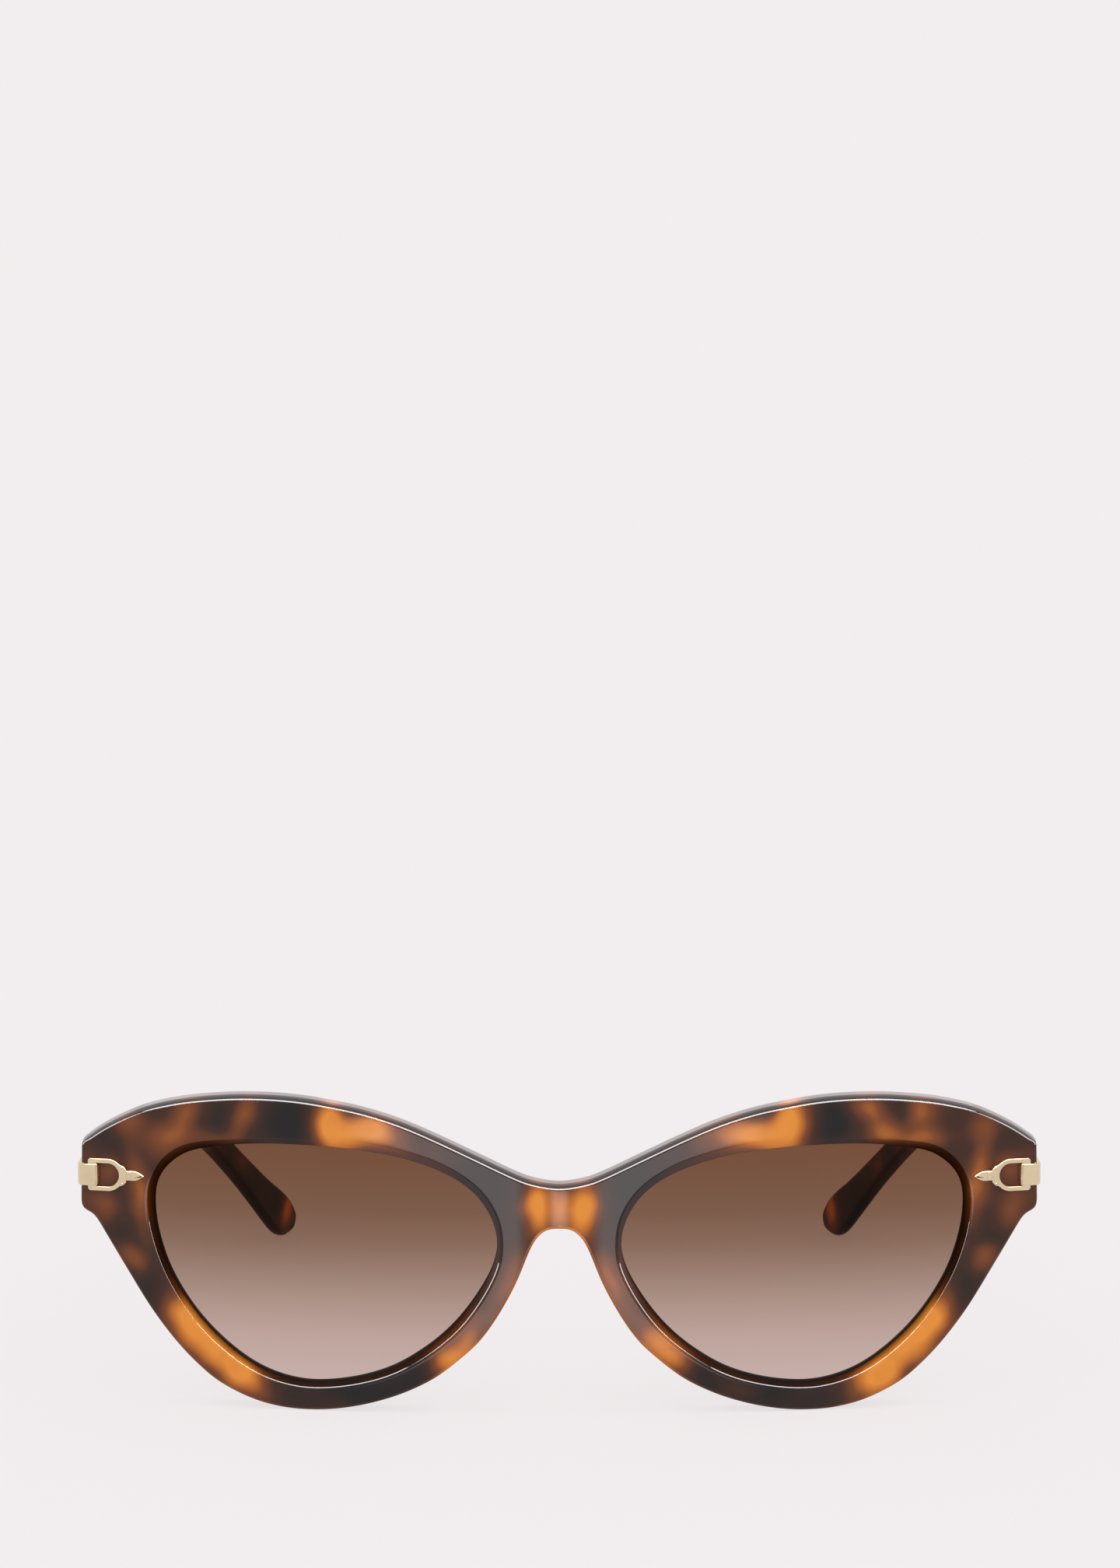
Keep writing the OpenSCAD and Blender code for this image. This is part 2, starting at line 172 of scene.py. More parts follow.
def piece(name, verts, faces, body, material, replaces, weld=0.0, marks=None, second=None):
    """A mesh piece from points in frame metres. marks are named numbers, one for each point; second is
    another material and the numbers of the faces that have it."""
    mesh = bpy.data.meshes.new(name)
    mesh.from_pydata([tuple(v) for v in verts], [], [tuple(f) for f in faces])
    for mark, values in (marks or {}).items():
        mesh.attributes.new(mark, "FLOAT", "POINT").data.foreach_set("value", np.asarray(values, np.float32))
    mesh.materials.append(material)
    if second:
        mesh.materials.append(second[0])
        for number in second[1]:
            mesh.polygons[number].material_index = 1
    obj = new_object(name, mesh)
    bm = bmesh.new()
    bm.from_mesh(mesh)
    if weld:
        bmesh.ops.remove_doubles(bm, verts=bm.verts, dist=weld)
    bmesh.ops.dissolve_degenerate(bm, edges=bm.edges, dist=1e-7)
    bmesh.ops.recalc_face_normals(bm, faces=bm.faces)
    for f in bm.faces:
        f.smooth = True
    bm.to_mesh(mesh)
    bm.free()
    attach(obj, body)
    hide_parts(*replaces)
    return obj


# ---------------------------------------------------------------- materials

class Nodes:
    """Small helper that adds and links the nodes of one tree."""

    def __init__(self, tree):
        self.tree = tree
        tree.nodes.clear()

    def add(self, kind, **inputs):
        n = self.tree.nodes.new(kind)
        for key, value in inputs.items():
            self.feed(n.inputs[key.replace("_", " ")], value)
        return n

    def feed(self, socket, value):
        if isinstance(value, bpy.types.NodeSocket):
            self.tree.links.new(value, socket)
        elif isinstance(value, bpy.types.Node):
            self.tree.links.new(value.outputs[0], socket)
        else:
            socket.default_value = value

    def feed_all(self, n, values):
        for socket, value in zip(n.inputs, values):
            self.feed(socket, value)

    def math(self, op, a, b=0.0, c=0.0, clamp=False):
        n = self.tree.nodes.new("ShaderNodeMath")
        n.operation = op
        n.use_clamp = clamp
        self.feed_all(n, (a, b, c))
        return n.outputs[0]

    def vector(self, op, a, b):
        n = self.tree.nodes.new("ShaderNodeVectorMath")
        n.operation = op
        self.feed_all(n, (a, b))
        return n.outputs[0]

    def rest(self, value):
        """1 - value"""
        return self.math("SUBTRACT", 1.0, value)

    def position(self):
        """The point's place in the frame, in metres."""
        return self.add("ShaderNodeTexCoord").outputs["Object"]

    def split(self, vector):
        return self.add("ShaderNodeSeparateXYZ", Vector=vector).outputs

    def noise(self, where, scale, detail=2.0, rough=0.5):
        return self.add("ShaderNodeTexNoise", Vector=where, Scale=scale, Detail=detail, Roughness=rough)

    def ramp(self, value, stops):
        n = self.tree.nodes.new("ShaderNodeValToRGB")
        e = n.color_ramp.elements
        while len(e) < len(stops):
            e.new(0.5)
        for item, (pos, colour) in zip(e, stops):
            item.position = pos
            item.color = (*colour, 1)
        self.feed(n.inputs[0], value)
        return n.outputs[0]

    def soft(self, value, lo, hi, out_lo, out_hi):
        """Smooth step of a value, from out_lo at lo to out_hi at hi."""
        n = self.tree.nodes.new("ShaderNodeMapRange")
        n.interpolation_type = "SMOOTHSTEP"
        self.feed_all(n, (value, lo, hi, out_lo, out_hi))
        return n.outputs[0]

    def mark(self, name):
        """A number that the mesh holds for each point; 0 where it has none."""
        n = self.tree.nodes.new("ShaderNodeAttribute")
        n.attribute_name = name
        return n.outputs["Fac"]

    def mix(self, t, a, b, blend="MIX"):
        n = self.tree.nodes.new("ShaderNodeMix")
        n.data_type = "RGBA"
        n.blend_type = blend
        self.feed(n.inputs[0], t)
        self.feed(n.inputs[6], a)
        self.feed(n.inputs[7], b)
        return n.outputs[2]

    def mix_shaders(self, t, a, b):
        n = self.tree.nodes.new("ShaderNodeMixShader")
        self.feed_all(n, (t, a, b))
        return n


class Material(Nodes):
    def __init__(self, name):
        self.mat = bpy.data.materials.new(name)
        self.mat.use_nodes = True
        super().__init__(self.mat.node_tree)

    def surface(self, shader):
        self.add("ShaderNodeOutputMaterial", Surface=shader)
        return self.mat


# Amber patches of the front: middle x and z in mm, half length, half width, slant in degrees, strength.
# A slant turns the long side anticlockwise in the front view of the +X side.
PATCHES_BOTH = [
    (34.6, 44.6, 2.2, 3.2, 0, 1.4), (29.5, 43.7, 3.9, 1.9, 9, 1.2), (32.4, 43.0, 2.4, 1.8, 0, 0.9),
    (3.4, 32.0, 1.8, 3.4, 0, 1.15), (0, 31.4, 1.3, 2.6, 0, 0.75),
    (56.0, 12.6, 4.2, 2.6, 48, 1.4), (49.6, 5.8, 3.6, 2.2, 38, 1.35), (53.2, 9.4, 2.4, 2.2, 45, 1.0),
    (16.8, 9.0, 2.6, 1.6, -40, 0.85), (14.2, 11.8, 2.8, 1.3, -50, 0.45),
    (7.8, 20.6, 1.4, 4.4, 25, 0.4),
    (69.5, 36.6, 1.8, 1.8, 0, 0.28), (70.0, 30.8, 1.7, 1.7, 0, 0.3), (65.6, 22.8, 1.5, 2.3, -25, 0.36),
    (46.6, 2.6, 2.6, 1.2, 20, 0.14),
]
# The same, for the -X side and the +X side alone
PATCHES_RIGHT = [
    (66.1, 44.4, 2.2, 2.0, 0, 0.32), (57.0, 45.6, 3.2, 1.9, -57, 0.42), (60.2, 41.8, 3.0, 2.0, 0, 0.36),
    (47.9, 45.8, 3.4, 1.4, -68, 0.42), (53.0, 42.0, 3.6, 1.2, 0, 0.24), (64.6, 33.6, 1.3, 4.8, -8, 0.44),
]
PATCHES_LEFT = [
    (47.0, 46.6, 2.5, 1.8, -40, 0.5), (50.2, 43.4, 2.6, 1.8, 0, 0.5), (55.4, 42.3, 3.4, 1.2, 0, 0.4),
    (55.8, 46.2, 1.8, 2.4, 10, 0.4), (65.2, 43.3, 2.2, 2.0, 0, 0.32), (64.5, 35.0, 1.3, 5.0, -10, 0.5),
    (70.0, 30.6, 1.9, 2.6, -20, 0.3), (15.8, 10.4, 3.4, 2.0, -44, 0.85), (27.7, 3.1, 2.6, 1.3, 0, 0.16),
]
# Dark bites out of the amber, in the same form
BITES = [(30.6, 47.5, 2.0, 1.8, 0, 0.95), (54.0, 4.9, 1.3, 1.2, 0, 0.35), (0, 35.0, 2.6, 0.7, 0, 0.5)]
# Places without the brown haze, in the same form
CLEAR_DARK = [
    (41.6, 45.0, 3.4, 4.0, 0, 1.1), (52.6, 45.4, 1.7, 2.8, 5, 0.6), (30.0, 2.8, 7.0, 2.8, 8, 1.1),
    (22.0, 5.0, 4.0, 2.8, -35, 0.9), (41.0, 1.6, 5.0, 2.4, 8, 0.7), (13.0, 33.0, 6.0, 12.0, 35, 1.1),
    (62.2, 17.6, 2.4, 5.0, -32, 1.0), (67.4, 26.6, 2.6, 2.2, 0, 0.6), (69.6, 41.4, 3.4, 1.6, 0, 0.4),
]
# Amber patches of a temple, in the same form but with y for x
ARM_PATCHES = [
    (30.0, 35.0, 7.4, 2.6, 5, 0.8), (52.0, 31.0, 6.4, 2.4, -10, 0.6), (70.0, 32.0, 5.4, 2.8, 0, 0.85),
    (88.0, 28.0, 4.4, 2.2, -15, 0.6), (99.0, 25.0, 3.0, 1.8, -30, 0.6), (112.0, 18.0, 3.2, 1.6, -30, 0.3),
    (134.2, 4.9, 2.6, 3.2, -33, 0.85), (20.5, 37.0, 3.2, 1.8, 0, 0.5), (40.0, 36.5, 5.4, 1.8, 0, 0.4),
]
FRONT_WOBBLE = 2.6  # mm that the patches' outlines are pushed about
ARM_WOBBLE = 5.0  # the same, along a temple
FRONT_HAZE = (0.11, 0.25)  # least and most brown haze between the patches
ARM_HAZE = (0.0, 0.09)

BLACK = (0.004, 0.003, 0.004)
BROWN = (0.050, 0.014, 0.004)
RUST = (0.20, 0.052, 0.009)
AMBER = (0.62, 0.19, 0.018)
HONEY = (0.80, 0.285, 0.034)
AMBER_RAMP = [(0.0, BLACK), (0.2, BROWN), (0.46, RUST), (0.8, AMBER), (1.0, HONEY)]
ACETATE_IOR = 1.49


def patches(m, along, up, spots):
    """Union of soft slanted ellipses in two coordinates, each a socket in mm."""
    left_over = None
    for cx, cz, half_long, half_wide, slant, strength in spots:
        c, s = math.cos(math.radians(slant)), math.sin(math.radians(slant))
        dx = m.math("SUBTRACT", along, cx)
        dz = m.math("SUBTRACT", up, cz)
        u = m.math("MULTIPLY_ADD", dx, c / half_long, m.math("MULTIPLY", dz, s / half_long))
        v = m.math("MULTIPLY_ADD", dz, c / half_wide, m.math("MULTIPLY", dx, -s / half_wide))
        r2 = m.math("MULTIPLY_ADD", u, u, m.math("MULTIPLY", v, v))
        fall = m.math("POWER", 0.5, r2)
        without = m.math("MULTIPLY_ADD", fall, -strength, 1.0, clamp=True)
        left_over = without if left_over is None else m.math("MULTIPLY", left_over, without)
    return m.rest(left_over)


def tortoise(m, arm=False):
    """Colour of the acetate from the point's place. Two marks of the mesh change the amber: one takes it away as
    painted shade, the other adds it as a painted glow of light through the acetate.
    """
    here = m.position()
    x, y, z = m.split(here)
    # a slow noise pushes the patches' outlines about
    bent = m.vector("SUBTRACT", m.noise(here, 130.0, 1.0).outputs["Color"], (0.5, 0.5, 0.5))
    push_x, push_y, push_z = m.split(bent)
    up = m.math("MULTIPLY_ADD", push_z, FRONT_WOBBLE, m.math("MULTIPLY", z, 1000.0))
    # a second one clouds the brown between them
    cloud = m.noise(here, 80.0).outputs[0]
    haze = m.soft(cloud, 0.34, 0.66, *(ARM_HAZE if arm else FRONT_HAZE))
    if arm:
        along = m.math("MULTIPLY_ADD", push_y, ARM_WOBBLE, m.math("MULTIPLY_ADD", y, 1000.0, MID_Y))
        amount = patches(m, along, up, ARM_PATCHES)
    else:
        on_left = m.math("GREATER_THAN", x, 0.0)
        across = m.math("MULTIPLY", m.math("ABSOLUTE", x), 1000.0)
        along = m.math("MULTIPLY_ADD", push_x, FRONT_WOBBLE, across)
        both = patches(m, along, up, PATCHES_BOTH)
        right = m.math("MULTIPLY", patches(m, along, up, PATCHES_RIGHT), m.rest(on_left))
        left = m.math("MULTIPLY", patches(m, along, up, PATCHES_LEFT), on_left)
        amount = m.math("MAXIMUM", both, m.math("MAXIMUM", right, left))
        amount = m.math("MULTIPLY", amount, m.rest(patches(m, along, up, BITES)))
        haze = m.math("MULTIPLY", haze, m.rest(patches(m, along, up, CLEAR_DARK)))
    amount = m.math("ADD", amount, m.math("MULTIPLY", haze, m.rest(amount)))
    # painted shade: the shade mark takes amber away
    amount = m.math("MULTIPLY", amount, m.rest(m.mark("shade")))
    # painted glow: amber added where light would come through the acetate's edges
    amount = m.math("ADD", amount, m.math("MULTIPLY", m.mark("warm"), m.rest(amount)))
    # and a fine one breaks up the amber
    fine = m.noise(here, 300.0).outputs[0]
    change = m.math("MULTIPLY", m.math("SUBTRACT", fine, 0.5), m.math("MULTIPLY", amount, 0.16))
    return here, m.ramp(m.math("ADD", amount, change, clamp=True), AMBER_RAMP)


def acetate(name, arm, level):
    """Polished acetate; level is the shader's specular level."""
    m = Material(name)
    here, colour = tortoise(m, arm)
    shader = m.add("ShaderNodeBsdfPrincipled", Base_Color=colour, IOR=ACETATE_IOR, Specular_IOR_Level=level)
    polish = m.noise(here, 900.0).outputs[0]
    m.feed(shader.inputs["Roughness"], m.math("MULTIPLY_ADD", polish, 0.03, 0.03))
    return m.surface(shader)


def acetate_wall():
    """The same acetate in the walls of the openings, where little light comes back out. One mark darkens it as
    painted shade, and another lays a faint grey over it as a painted reflection."""
    m = Material("acetate_wall")
    here, colour = tortoise(m)
    # painted shade of the walls
    deep = m.mix(m.mark("dim"), (1.0, 1.0, 1.0, 1), (0.0, 0.0, 0.0, 1))
    # painted grey reflection over the walls
    colour = m.vector("ADD", colour, m.mix(m.mark("veil"), (0.0, 0.0, 0.0, 1), (0.06, 0.05, 0.05, 1)))
    tone = m.mix(1.0, colour, deep, "MULTIPLY")
    shader = m.add("ShaderNodeBsdfPrincipled", Base_Color=tone, IOR=ACETATE_IOR, Specular_IOR_Level=0.015)
    polish = m.noise(here, 700.0).outputs[0]
    m.feed(shader.inputs["Roughness"], m.math("MULTIPLY_ADD", polish, 0.1, 0.3))
    return m.surface(shader)


# The lens's tint from its lowest point to its highest
TINT = [(0.0, (0.812, 0.726, 0.692)), (0.06, (0.802, 0.713, 0.678)), (0.19, (0.762, 0.663, 0.624)),
        (0.32, (0.699, 0.593, 0.547)), (0.445, (0.616, 0.507, 0.449)), (0.575, (0.536, 0.418, 0.355)),
        (0.7, (0.481, 0.354, 0.283)), (0.9, (0.452, 0.313, 0.236)), (1.0, (0.445, 0.305, 0.225))]
TINT_FROM, TINT_TALL = 0.004, 0.038  # metres


def tinted_lens():
    """Clear sheet whose tint fades down the lens, with a weak mirror on top."""
    m = Material("tinted_lens")
    z = m.split(m.position())[2]
    t = m.math("DIVIDE", m.math("SUBTRACT", z, TINT_FROM), TINT_TALL, clamp=True)
    through = m.add("ShaderNodeBsdfTransparent", Color=m.ramp(t, TINT))
    gloss = m.add("ShaderNodeBsdfGlossy", Color=(1, 1, 1, 1), Roughness=0.02)
    return m.surface(m.mix_shaders(m.add("ShaderNodeFresnel", IOR=1.13), through, gloss))


def metal(name, colour, rough, grain=0.0):
    """Plated metal with slow changes of tone and fine changes of polish."""
    m = Material(name)
    here = m.position()
    shade = m.noise(here, 260.0, 3.0, 0.6).outputs[0]
    tone = m.ramp(shade, [(0.3, tuple(c * 0.88 for c in colour)), (0.7, colour)])
    shader = m.add("ShaderNodeBsdfPrincipled", Base_Color=tone, Metallic=1.0)
    swirl = m.noise(here, 1400.0).outputs[0]
    m.feed(shader.inputs["Roughness"], m.math("MULTIPLY_ADD", swirl, 0.08, rough))
    if grain:
        bump = m.add("ShaderNodeBump", Strength=grain, Distance=0.00005, Height=swirl)
        m.feed(shader.inputs["Normal"], bump)
    return m.surface(shader)


FRONT_MAT = acetate("acetate_front", arm=False, level=0.36)
WALL_MAT = acetate_wall()
ARM_MAT = acetate("acetate_arm", arm=True, level=0.06)
LENS_MAT = tinted_lens()
GOLD_MAT = metal("pale_gold", (0.79, 0.65, 0.44), 0.15)
SCREW_MAT = metal("screw_steel", (0.72, 0.62, 0.46), 0.28)
CORE_MAT = metal("core_steel", (0.55, 0.55, 0.57), 0.35, grain=0.3)


# ---------------------------------------------------------------- front

BACK_ROUND = 0.42  # rounding of the outline at the back
OPENING_ROUND = 0.75  # rounding of the openings at the back
ROUND_DEPTH = 1.4  # depth over which that rounding runs
STRETCH_FROM = 2.2  # depths past this are stretched to reach the real back
BEVEL_TURN = 0.6  # most that the face's rounded edge takes beside the bevel
FACE_STEPS = (0, 0.03, 0.08, 0.2, 0.35, 0.5, 0.65, 0.8, 0.92, 1)  # loops from the outline to the bevel
BACK_STEPS = 14
# The outer edge in section: radius, from angle, to angle, steps. The last arc is the side's crown.
CROWN_FROM = 70
OUTER_ARCS = ((0.3, 0, 28, 4), (0.5, 28, 58, 8), (0.3, 58, CROWN_FROM, 3), (6.6, CROWN_FROM, 87, 8))


def ray_map(outline, angles):
    """Points of a closed outline on the rays that leave the rim's centre at the given angles."""
    d = outline - RIM_CENTRE
    a = np.arctan2(d[:, 1], d[:, 0])
    order = np.argsort(a)
    a, d = a[order], d[order]
    a = np.r_[a[-1] - 2 * math.pi, a, a[0] + 2 * math.pi]
    d = np.concatenate([d[-1:], d, d[:1]])
    r = np.interp(angles, a, np.linalg.norm(d, axis=1))
    return RIM_CENTRE + np.stack([r * np.cos(angles), r * np.sin(angles)], 1)


def back_depth(p):
    """Thickness behind the face at each point: the rim, or the end piece's flat back."""
    x, z = p[:, 0], p[:, 1]
    lug = step_up(62.9, 63.7, x) * step_up(28.9, 29.5, z) * (1 - step_up(38.8, 39.4, z))
    plain = np.minimum(THICK, LUG_BACK - face_y(x))
    return plain + lug * (LUG_BACK - face_y(x) - plain)


def at(plan, depth):
    """Points at a depth behind the curved face, given for a front of even thickness."""
    depth = np.broadcast_to(depth, (len(plan),)).astype(float)
    past = np.maximum(depth - STRETCH_FROM, 0)
    deep = depth + past * ((back_depth(plan) - STRETCH_FROM) / (THICK - STRETCH_FROM) - 1)
    return np.stack([plan[:, 0], face_y(plan[:, 0]) + deep, plan[:, 1]], 1)


def outer_profile():
    """Edge inset, crown inset and depth from the face, over the rounded front edge and the crowned side."""
    steps = []
    for radius, start, end, n in OUTER_ARCS:
        for k in range(n):
            mid = math.radians(start + (end - start) * (k + 0.5) / n)
            run = radius * math.radians(end - start) / n
            steps.append((run * math.cos(mid), run * math.sin(mid), start == CROWN_FROM))
    walk, down, crowned = np.array(steps).T
    edge_part = np.r_[0, np.cumsum(walk * (1 - crowned))]
    crown_part = np.r_[0, np.cumsum(walk * crowned)]
    return edge_part[-1] - edge_part, crown_part[-1] - crown_part, np.r_[0, np.cumsum(down)]


def outer_edge():
    """Even points of the +X half's outline, from the bridge's top round to its underside, and the outward
    direction at each."""
    line = np.concatenate([smooth_run(BROW, 8, mirror_start=True), smooth_run(CHEEK, 8, mirror_end=True)])
    edge = even(blur(even(line, 0.1), 3.5), 0.5)
    edge[0, 0] = edge[-1, 0] = 0.0
    longer = np.concatenate([edge[1:2] * [-1, 1], edge, edge[-2:-1] * [-1, 1]])
    tangent = longer[2:] - longer[:-2]
    tangent /= np.linalg.norm(tangent, axis=1)[:, None]
    normal = blur(np.stack([-tangent[:, 1], tangent[:, 0]], 1), 2.0)
    normal[0, 0] = normal[-1, 0] = 0.0
    return edge, normal


def closed_ring(rim):
    """The outline closed by points up the middle plane."""
    t = np.linspace(0, 1, 14)[1:-1, None]
    return np.concatenate([rim, rim[-1] * (1 - t) + rim[0] * t])


def edge_glow(edge, normal, rim):
    """Warm light in the outer edge: along the bottom, down the nose side and under the bridge."""
    glow = 0.12 * step_up(0.3, 0.9, -normal[:, 1]) + 0.3 * step_up(0.2, 0.9, -normal[:, 0])
    glow += 0.35 * step_up(5.5, 2.5, edge[:, 0]) * step_up(0.2, 0.7, -normal[:, 1])
    return glow * step_up(45.5, 43.5, rim[:, 1])


def wall_marks(shape, wall_from, seat, wall_to, low, out_dir):
    """Marks over all loops, for the walls of an opening: painted warm light, painted shade, and a painted grey
    reflection. Each row of numbers runs from the bevel to the lens's seat, or over the last loops before the
    back."""
    warm, dim, veil = np.zeros((3, *shape))
    nose_top = step_up(0.1, 0.8, out_dir @ [-0.85, 0.5])
    nose = step_up(0.3, 0.9, -out_dir[:, 0])
    temporal = step_up(0.7, 0.95, out_dir[:, 0])
    # painted warm glow of light through the acetate: faint in the lower walls, stronger along the seat at the
    # nose side's top
    warm[wall_from + 1:seat] = 0.1 * low
    warm[seat] = 0.5 * nose_top
    # painted grey reflection on the upper walls, stronger by the nose
    veil[wall_from:seat] = 0.6 * (1 - low) * (1 + nose)
    # painted shade: deeper down the lower and temporal walls, full on the walls behind the lens, fading toward
    # the back
    below = np.outer([0.05, 0.45, 0.75, 0.9], low)
    beside = np.outer([0.5, 0.75, 0.85, 0.95], temporal)
    dim[wall_from:seat] = np.maximum(below, beside)
    dim[seat] = 1 - 0.7 * nose_top
    dim[seat + 1:wall_to + 1] = 1.0
    dim[wall_to - 5:wall_to + 1] = np.array([0.9, 0.75, 0.55, 0.3, 0.1, 0.0])[:, None]
    return warm, dim, veil


def front_half():
    """Points, faces, the range of the wall's faces and the marks of the +X half."""
    edge, normal = outer_edge()
    count = len(edge)
    edge_part, crown_part, depths = outer_profile()
    # the side is crowned above, and nearly straight below
    over = step_up(0.2, 0.8, normal[:, 1])
    insets = edge_part[:, None] + crown_part[:, None] * (0.3 + 0.7 * over)

    outer_front = closed_ring(edge - insets[0][:, None] * normal)
    outer_back = closed_ring(edge - BACK_ROUND * normal)
    total = len(outer_front)
    angles = np.arctan2(outer_front[:, 1] - RIM_CENTRE[1], outer_front[:, 0] - RIM_CENTRE[0])
    o = ray_map(smooth_run(OPENING, 14, closed=True), angles)
    b = ray_map(smooth_run(BEVEL, 14, closed=True), angles)
    out_dir = (o - RIM_CENTRE) / np.linalg.norm(o - RIM_CENTRE, axis=1)[:, None]
    slope = o - b
    width = np.linalg.norm(slope, axis=1)[:, None]
    # the bevel is shallow above and by the nose, and reaches down to the lens below and at the temple
    low = step_up(-0.3, 0.35, out_dir @ [0.45, -0.9])
    ledge = 0.9 + 0.95 * low

    loops = []
    turn = np.minimum(BEVEL_TURN, 1.5 * width)
    start = b + turn * out_dir
    for t in FACE_STEPS:
        loops.append(at(outer_front * (1 - t) + start * t, 0))
    share = 0.6 * turn[:, 0] / np.hypot(width[:, 0], ledge)
    for s in np.linspace(0, 1, 8)[1:]:
        # from the face, over the bevel's edge, on to its slope
        p = (1 - s) ** 2 * start + 2 * s * (1 - s) * b + s ** 2 * (b + share[:, None] * slope)
        loops.append(at(p, s ** 2 * share * ledge))
    wall_from = len(loops) - 1
    for t in (0.6, 0.9, 1.0):
        loops.append(at(b + t * slope, t * ledge))
    seat = len(loops)
    for d in (0.1, 0.22):
        loops.append(at(o + 0.12 * out_dir, ledge + d))
    for d in (2.6, THICK - ROUND_DEPTH):
        loops.append(at(o, d))
    for s in np.linspace(0, 1, 6)[1:]:
        loops.append(at(o + out_dir * (s ** 2 * OPENING_ROUND), THICK - (1 - s) ** 2 * ROUND_DEPTH))
    wall_to = len(loops) - 1
    inner_back = o + out_dir * OPENING_ROUND
    for k in range(1, BACK_STEPS + 1):
        t = (k / BACK_STEPS) ** 1.3
        loops.append(at(inner_back * (1 - t) + outer_back * t, THICK))

    # the outer side: rounded edge and crown, then straight, then the rounding at the back
    side = [at(edge - inset[:, None] * normal, depth) for inset, depth in zip(insets[1:], depths[1:])]
    side += [at(edge, d) for d in (depths[-1] + 0.1, 2.6, 3.8, THICK - BACK_ROUND)]
    for s in np.linspace(0, 1, 6)[1:-1]:
        side.append(at(edge - BACK_ROUND * s ** 2 * normal, THICK - (1 - s) ** 2 * BACK_ROUND))
    side = [loops[0][:count]] + side + [loops[-1][:count]]

    base = len(loops) * total
    verts = np.concatenate(loops + side)
    faces = grid_faces(len(loops), total, wrap_cols=True)
    faces += [tuple(base + i for i in f) for f in grid_faces(len(side), count, flip=True)]

    # painted glow of light through the acetate along the outer edge
    glow = edge_glow(edge, normal, outer_front[:count])
    warm, dim, veil = wall_marks((len(loops), total), wall_from, seat, wall_to, low, out_dir)
    warm[0, :count] = 0.4 * glow
    # painted shade on top: amber is taken out just behind the front edge, most in a band beside the edge's
    # rounding
    shade = np.full(len(side), 0.1)
    shade[:len(depths)] = np.interp(depths, [0.1, 0.25, 0.7, 1.3], [0, 0.85, 0.85, 0.1])
    plain = np.zeros(len(side) * count)
    marks = {
        "warm": np.concatenate([warm.ravel(), np.tile(glow, len(side))]),
        "dim": np.concatenate([dim.ravel(), plain]),
        "veil": np.concatenate([veil.ravel(), plain]),
        "shade": np.concatenate([np.zeros(base), np.outer(shade, over).ravel()]),
    }
    return verts, faces, (wall_from * total, wall_to * total), marks


def front():
    """Both halves, welded up the middle plane."""
    verts, faces, walls, marks = front_half()
    verts[:, 2] = np.clip(verts[:, 2], 0.0, TALLEST)
    both = np.concatenate([verts, verts * [-1, 1, 1]])
    n, half = len(verts), len(faces)
    faces = faces + [tuple(n + i for i in f[::-1]) for f in faces]
    marks = {name: np.concatenate([values, values]) for name, values in marks.items()}
    inside = {half * k + i for k in (0, 1) for i in range(*walls)}
    return piece("front", place(both), faces, "front", FRONT_MAT, ["front_frame"],
                 weld=4e-6, marks=marks, second=(WALL_MAT, inside))


# ---------------------------------------------------------------- lenses

LENS_R = 200.0  # radius of the lens's outer side
LENS_THICK = 1.8
LENS_INSET = 1.2  # how far the outer side lies behind the face
LENS_X, LENS_Z = 36.5, 23.2  # middle of the lens
LENS_IN_GROOVE = 0.72  # how far the lens reaches into the rim
LENS_AXIS = FACE_R - LENS_INSET - LENS_R
LENS_TURN = math.asin(LENS_X / FACE_R)
# middle of the sphere that the outer side is part of
LENS_MID = np.array([LENS_AXIS * math.sin(LENS_TURN), FACE_R - LENS_AXIS * math.cos(LENS_TURN), LENS_Z])


def lens(side, name, node):
    """Curved sheet. Each side runs in rings from near the rim's centre out to the lens's edge."""
    line = even(smooth_run(OPENING + OPENING[:1], 10), 0.9)[:-1]
    d = line - RIM_CENTRE
    reach = d * (1 + LENS_IN_GROOVE / np.linalg.norm(d, axis=1))[:, None]

    def skin(t, radius):
        x, z = (RIM_CENTRE + reach * t).T
        y = LENS_MID[1] - np.sqrt(radius ** 2 - (x - LENS_MID[0]) ** 2 - (z - LENS_MID[2]) ** 2)
        return np.stack([x, y, z], 1)

    rings = np.linspace(0.04, 1, 22)
    loops = [skin(t, LENS_R) for t in rings]
    loops.append(skin(1.002, LENS_R - LENS_THICK / 2))
    loops += [skin(t, LENS_R - LENS_THICK) for t in rings[::-1]]
    verts = np.concatenate(loops) * [side, 1, 1]
    faces = tube_faces(len(loops), len(line))
    return piece(name, place(verts), faces, "front", LENS_MAT, [node])


# ---------------------------------------------------------------- temples

ARM_START = 14.47  # flat front end of a temple
ARM_CORNER = 0.95  # radius of its long edges
CORNER_STEPS = 7
BOW_FROM = 14.0
OUT_X, OUT_BOW_R = 73.6, 343.0  # the outer side's place at BOW_FROM and its bow, seen from above
IN_X, IN_BOW_R = 69.8, 375.0
TIP_FROM, TIP_RUN = 0.985, 0.0151  # where the tip's two faces start to close in, in shares of the length


def bow(y):
    """x of the temple's outer and inner side."""
    run = (y - BOW_FROM) ** 2
    return OUT_X - OUT_BOW_R + math.sqrt(OUT_BOW_R ** 2 - run), IN_X - IN_BOW_R + math.sqrt(IN_BOW_R ** 2 - run)


